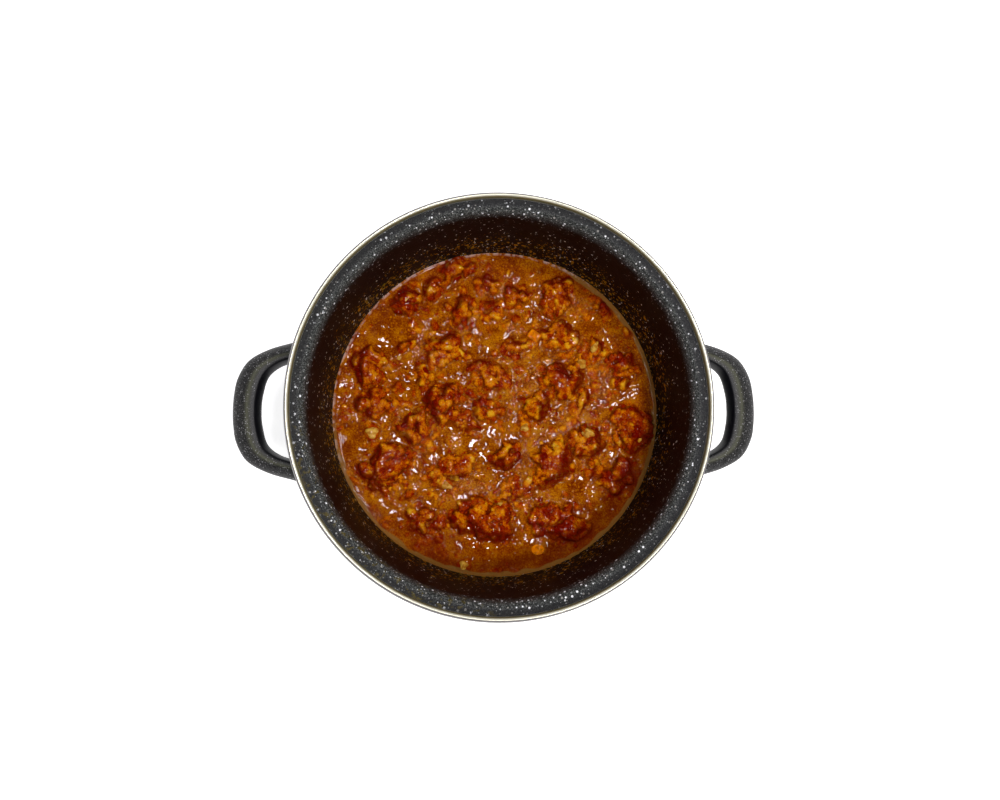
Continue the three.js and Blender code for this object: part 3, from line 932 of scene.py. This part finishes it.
def shade_of(height):
    """1 where slopes face away from the pot's middle and at the near edge, which are darker."""
    slope_y, slope_x = np.gradient(blurred(height, 1.5), MAP_STEP)
    outward = -(slope_x * map_x + slope_y * map_y) / np.maximum(map_radius, 20)
    near_side = smoothstep((0.3 * map_x - 0.95 * map_y) / map_radius.clip(1), 0.1, 0.8)
    edge = smoothstep(map_radius, 72, 106) * (0.25 + 0.5 * near_side)
    return np.clip(smoothstep(outward, 0.08, 0.6) + edge, 0, 1)


def edge_maps():
    """Maps of the smooth film of sauce at the wall, and of a painted highlight there on the far left,
    where the sauce climbs the wall.
    """
    far_left = (0.82 * map_y - 0.57 * map_x) / map_radius.clip(1)
    film = smoothstep(map_radius + 0.5 * noise_map(2.5), RAGU_RADIUS - 3.6, RAGU_RADIUS - 1.8)
    skin = 0.45 * smoothstep(map_radius + noise_map(4), RAGU_RADIUS - 18, RAGU_RADIUS - 8)
    film = np.maximum(0.85 * film, skin) * smoothstep(far_left, 0.75, 0.4)
    # The pale line at the wall on the far left is a painted highlight.
    at_wall = smoothstep(map_radius, RAGU_RADIUS - 1.3, RAGU_RADIUS - 0.8)
    return film, 0.7 * at_wall * smoothstep(far_left, 0.1, 0.6)


def ragu_maps():
    """Maps of the ragu's height and of what shows at each point, and its loose crumbs."""
    level, busy = sauce_maps()
    solid = RAGU_LEVEL - 3 + 1.2 * noise_map(3)
    tone = np.full(map_x.shape, 0.35)
    add_lobes(solid, tone, level, busy)
    domes = blurred(smoothstep(solid, RAGU_LEVEL, RAGU_LEVEL + 1.5), 0.8)
    ground = blurred(solid, 0.5)
    solid = ground - 0.15
    on_clumps = crumbs_on_clumps(ground)
    stray = spread_out(lumps_in_sauce(
        STRAY_CRUMBS, busy, [ground, level - 0.35], sink=0.14, rise=0.46, middle_tone=0.48,
        typical=2.0, spread=0.35, smallest=1.2, largest=4.2), closeness=0.45)
    # The finest crumbs are only relief.
    add_lumps(solid, tone, lumps_in_sauce(
        FINE_CRUMBS, busy, [ground, level - 0.45], sink=0.2, rise=0.42, middle_tone=0.44,
        typical=2.5, spread=0.35, smallest=1.5, largest=5.5))
    add_collars(solid, tone, [on_clumps, stray])

    # Sauce stands in the gaps, thinner on the clumps than between them.
    bed = smooth_max(blurred(solid, 1.1) - 0.5, level, 0.9)
    height = blurred(smooth_max(solid, bed, 0.4), 0.28)
    meat = smoothstep(solid - bed, -0.4, 0.5)
    # Painted shade in the crevices, strongest on the clumps.
    crevice_shade = np.clip((blurred(height, 1.3) - height) / 0.5, 0, 1) * (0.2 + 0.8 * domes)
    shade = shade_of(height)

    # The sauce climbs the last few millimetres to the wall.
    climb = 1.5 * np.exp(-(RAGU_RADIUS - map_radius) / 0.9)
    height = height + np.clip(climb, 0, 1.5)
    film, painted_rim_highlight = edge_maps()
    tone = blurred(tone, 0.4) + 0.12 * noise_map(1.4)
    for crumbs in (on_clumps, stray):
        under = sampled(tone, crumbs[:, PLACE_X], crumbs[:, PLACE_Y])
        crumbs[:, TONE] = under + rng.normal(0, 0.05, len(crumbs))
    relief = np.clip((height - blurred(height, 1.6)) / 0.7, -1, 1)
    maps = {
        "height": height, "meat": meat, "crevice_shade": crevice_shade, "tone": tone, "film": film, "shade": shade,
        "relief": relief, "painted_rim_highlight": painted_rim_highlight}
    return maps, on_clumps, stray


RING_STEP = 0.625
EDGE_CLIMB = 1.3  # how far above the level the edge meets the wall
EDGE_TUCK = 0.2  # how far the edge reaches into the wall
UNDER_STRIDE = 4  # one in so many of the profile's points is used


def ring_mesh(radii):
    """Points at ever more places round each ring, and the triangles between the rings."""
    points = [np.zeros((1, 2))]
    faces = []
    first = 0
    for ring, radius in enumerate(radii, start=1):
        count = 6 * ring
        angle = angles_round(count)
        start = first + (6 * (ring - 1) if ring > 1 else 1)
        points.append(np.column_stack(on_circle(radius, angle)))
        place = np.arange(count)
        sector, along = place // ring, place % ring
        inner_count = max(1, 6 * (ring - 1))
        inner = first + (sector * (ring - 1) + along) % inner_count
        outer, outer_next = start + place, start + (place + 1) % count
        faces.append(np.stack([inner, outer, outer_next], axis=1))
        if ring > 1:
            more = along < ring - 1
            inner_next = first + (sector * (ring - 1) + along + 1) % inner_count
            faces.append(np.stack([inner[more], outer_next[more], inner_next[more]], axis=1))
        first = start
    return np.vstack(points), np.vstack(faces)


def ragu(maps, material):
    """The ragu from its surface down to the pot's base."""
    rings = int(RAGU_RADIUS / RING_STEP)
    reach = wall_radius(RAGU_LEVEL + EDGE_CLIMB) + EDGE_TUCK
    flat, faces = ring_mesh(np.linspace(0, reach, rings + 1)[1:])
    values = {name: sampled(field, flat[:, 0], flat[:, 1]) for name, field in maps.items()}
    points = [np.column_stack([flat, values.pop("height")])]
    # The rim's ring runs on down the wall and under the base.
    corner = inside_profile(-GAP)[1:PROFILE_STEPS + 2]
    under = corner[::-1][::UNDER_STRIDE]
    count = 6 * rings
    angle = angles_round(count)
    for radius, height in under:
        points.append(np.column_stack([*on_circle(radius, angle), np.full(count, height)]))
    points.append(np.array([[0, 0, BASE_THICKNESS + GAP]]))
    points = np.vstack(points)
    quads = grid_faces(len(under) + 1, count)[:, ::-1] + len(flat) - count
    middle = len(flat) + count * len(under)
    last = middle - count + np.arange(count)
    floor = np.stack([last, np.full(count, middle), np.roll(last, -1)], axis=1)
    hidden = len(points) - len(flat)
    values = {name: np.concatenate([value, np.zeros(hidden)]) for name, value in values.items()}
    all_faces = [*faces.tolist(), *quads.tolist(), *floor.tolist()]
    make_piece("ragu_sauce", points, all_faces, material, ["ragu"], values)


def ball(subdivisions):
    """Points and triangles of a unit sphere."""
    sphere = bmesh.new()
    bmesh.ops.create_icosphere(sphere, subdivisions=subdivisions, radius=1)
    points = np.array([vertex.co for vertex in sphere.verts])
    faces = np.array([[vertex.index for vertex in face.verts] for face in sphere.faces])
    sphere.free()
    return points, faces


def crumbs_of_mince(name, lumps, subdivisions, shade_map, material):
    """Uneven crumbs in the places of lumps, as one piece."""
    sphere, faces = ball(subdivisions)
    count = len(lumps)
    x, y, middle, length, width, rise, turn, tone = lumps.T[:, :, None]
    shapes = np.repeat(sphere[None], count, axis=0)
    for steepness in (1.5, 3, 5):
        wave = steepness * rng.standard_normal((count, 3))
        phase = rng.uniform(0, 2 * math.pi, (count, 1))
        shapes *= 1 + 0.12 * np.sin(sphere @ wave.T + phase.T).T[:, :, None]
    shapes *= np.stack([length / 2, width / 2, rise], axis=2)
    off_x, off_y = rotated(shapes[:, :, 0], shapes[:, :, 1], turn)
    points = np.stack([x + off_x, y + off_y, middle + shapes[:, :, 2]], axis=2).reshape(-1, 3)
    # Each crumb's top is painted paler and its underside darker by this: partly thinner sauce, partly
    # painted light.
    relief = 0.5 * np.clip(shapes[:, :, 2] / rise, -1, 1)
    corners = len(points)
    values = {
        "meat": np.ones(corners), "crevice_shade": np.zeros(corners), "film": np.zeros(corners),
        "relief": relief.ravel(), "tone": np.repeat(tone, len(sphere)),
        "shade": sampled(shade_map, points[:, 0], points[:, 1])}
    all_faces = (faces[None] + len(sphere) * np.arange(count)[:, None, None]).reshape(-1, 3)
    make_piece(name, points, all_faces, material, (), values)


# ---- Vegetables ----

def sphere_grid(around, up):
    """Points and faces of a unit sphere, with an open grid and a point at each pole."""
    angle = angles_round(around)
    tilt = np.linspace(-math.pi / 2, math.pi / 2, up + 2)[1:-1]
    rows = [np.column_stack([*on_circle(np.cos(t), angle), np.full(around, np.sin(t))]) for t in tilt]
    points = np.vstack(rows + [[[0, 0, -1], [0, 0, 1]]])
    faces = grid_faces(up, around).tolist()
    bottom, top = up * around, up * around + 1
    for i in range(around):
        following = (i + 1) % around
        faces.append([bottom, following, i])
        faces.append([(up - 1) * around + i, (up - 1) * around + following, top])
    return points, faces


def petal(length, width, thickness):
    """A curved flake from one layer of an onion."""
    points, faces = sphere_grid(around=28, up=15)
    along = points[:, 0].copy()
    uneven = 1 + 0.10 * np.sin(4 * points[:, 1] + 3 * along) + 0.07 * np.sin(6 * along + length)
    points = points * np.array([length, width, thickness]) / 2 * uneven[:, None]
    points[:, 2] -= thickness / 3 * along ** 2
    return points, faces


def dice(length, width, thickness):
    """A cut dice with its edges worn round."""
    swelling, flatness, worn = 0.5, 0.4, 0.96
    points, faces = sphere_grid(around=48, up=25)
    block = np.sign(points) * np.abs(points) ** swelling
    block /= np.max(np.abs(block), axis=1)[:, None] ** flatness
    return block * np.array([length, width, thickness]) / 2 * worn, faces


def vegetable(node, kind, length, width, thickness, turn, material, slot):
    """A vegetable piece in the place of its CAD node."""
    points, faces = {"petal": petal, "dice": dice}[kind](length, width, thickness)
    x, y = rotated(points[:, 0], points[:, 1], math.radians(turn))
    placed = np.column_stack([x, y, points[:, 2]])
    placed -= (placed.max(0) + placed.min(0)) / 2
    make_piece(node + "_piece", placed + box_middle(node), faces, material, [node])


def sunk_piece(name, x, y, length, width, turn, surface, material, slot):
    """A flat vegetable piece that just shows at the sauce's surface."""
    points, faces = sphere_grid(around=28, up=11)
    shape = points * np.array([length, width, SUNK_THICKNESS]) / 2
    off_x, off_y = rotated(shape[:, 0], shape[:, 1], math.radians(turn))
    placed = np.column_stack([x + off_x, y + off_y, shape[:, 2]])
    placed[:, 2] += sampled(surface, placed[:, 0], placed[:, 1]) - SUNK_DEPTH
    make_piece(name, placed, faces, material)


# ---- Camera, light and floor ----

PHOTO_WIDTH = 1000  # pixels
FOCAL_PIXELS = 740
CAMERA_PLACE = (-0.02071, -0.03571, 0.56756)  # metres
CAMERA_ROLL = -0.30  # degrees, as are the next two
CAMERA_PITCH = 5.04
CAMERA_YAW = -2.66

# Lights: name, place in metres, watts and colour.
LIGHTS = [
    ("overhead", (-0.14, 0.03, 1.15), 3.8, (0.97, 0.94, 1.0)),
    ("key", (0.27, -0.33, 1.16), 5, (1.0, 0.97, 0.96)),
    ("fill", (0.30, 0.20, 1.16), 4, (1.0, 0.97, 0.96)),
]
LIGHT_SIZE = 0.11  # metres
GLOW = (0.95, 0.94, 1.0, 1)
# How far up a direction points where the glow starts to fade, and where it is gone.
GLOW_FADE = (0.12, 0.42)
FLOOR_HALF = 3.0  # metres


def make_camera():
    data = bpy.data.cameras.new("camera")
    data.sensor_width = 36
    data.lens = FOCAL_PIXELS * data.sensor_width / PHOTO_WIDTH
    data.clip_start = 0.01
    camera = add_object("camera", data)
    camera.matrix_world = (
        Matrix.Translation(CAMERA_PLACE)
        @ Matrix.Rotation(math.radians(CAMERA_ROLL), 4, "Z")
        @ Matrix.Rotation(math.radians(CAMERA_PITCH), 4, "X")
        @ Matrix.Rotation(math.radians(CAMERA_YAW), 4, "Y"))
    bpy.context.scene.camera = camera


def make_light(name, place, watts, colour):
    """A square soft light that faces the middle of the ragu."""
    data = bpy.data.lights.new(name, "AREA")
    data.size = LIGHT_SIZE
    data.energy = watts
    data.color = colour
    light = add_object(name, data)
    light.location = place
    away = light.location - Vector((0, 0, RAGU_LEVEL * METRES))
    light.rotation_mode = "QUATERNION"
    light.rotation_quaternion = away.to_track_quat("Z", "Y")


def make_background():
    """A background that glows low down and fades to black higher up."""
    world = bpy.data.worlds.new("studio")
    bpy.context.scene.world = world
    world.use_nodes = True
    nodes, links = world.node_tree.nodes, world.node_tree.links
    direction = nodes.new("ShaderNodeSeparateXYZ")
    links.new(nodes.new("ShaderNodeTexCoord").outputs["Generated"], direction.inputs[0])
    climb = nodes.new("ShaderNodeMapRange")
    climb.interpolation_type = "SMOOTHSTEP"
    links.new(direction.outputs["Z"], climb.inputs["Value"])
    start, end = GLOW_FADE
    for key, value in (("From Min", start), ("From Max", end), ("To Min", 1.0), ("To Max", 0.0)):
        climb.inputs[key].default_value = value
    background = nodes["Background"]
    background.inputs["Color"].default_value = GLOW
    links.new(climb.outputs["Result"], background.inputs["Strength"])


def make_floor():
    """The table that the pot stands on."""
    corners = [
        (x * FLOOR_HALF, y * FLOOR_HALF, 0) for x, y in ((-1, -1), (1, -1), (1, 1), (-1, 1))]
    data = bpy.data.meshes.new("floor")
    data.from_pydata(corners, [], [(0, 1, 2, 3)])
    data.materials.append(floor_material())
    floor = add_object("floor", data)


# ---- The whole scene ----

make_camera()
make_background()
for light in LIGHTS:
    make_light(*light)
make_floor()
bpy.context.scene.view_settings.view_transform = "Standard"
pot_body()
rim_ring()
plastic = handle_material()
handle("handle_right", 1, plastic)
handle("handle_left", -1, plastic)
maps, on_clumps, stray = ragu_maps()
wet_mince = ragu_material()
ragu(maps, wet_mince)
small = on_clumps[LARGE_LOOSE:]
for name, crumbs, subdivisions in (
        ("large_crumbs", on_clumps[:LARGE_LOOSE], 3),
        ("small_crumbs", small[:SMALL_LOOSE], 2),
        ("stray_crumbs", stray[:SMALL_LOOSE], 2)):
    crumbs_of_mince(name, crumbs, subdivisions, maps["shade"], wet_mince)
flesh = {
    "onion": vegetable_material("onion_flesh", ONION_FLESH),
    "carrot": vegetable_material("carrot_flesh", CARROT_FLESH)}
for node, kind, *sizes in VEGETABLES:
    slot = node.split("_")[0]
    vegetable(node, kind, *sizes, flesh[slot], slot)
for number, (slot, *sizes) in enumerate(SUNK, start=1):
    sunk_piece(f"sunk_bit_{number}", *sizes, maps["height"], flesh[slot], slot)
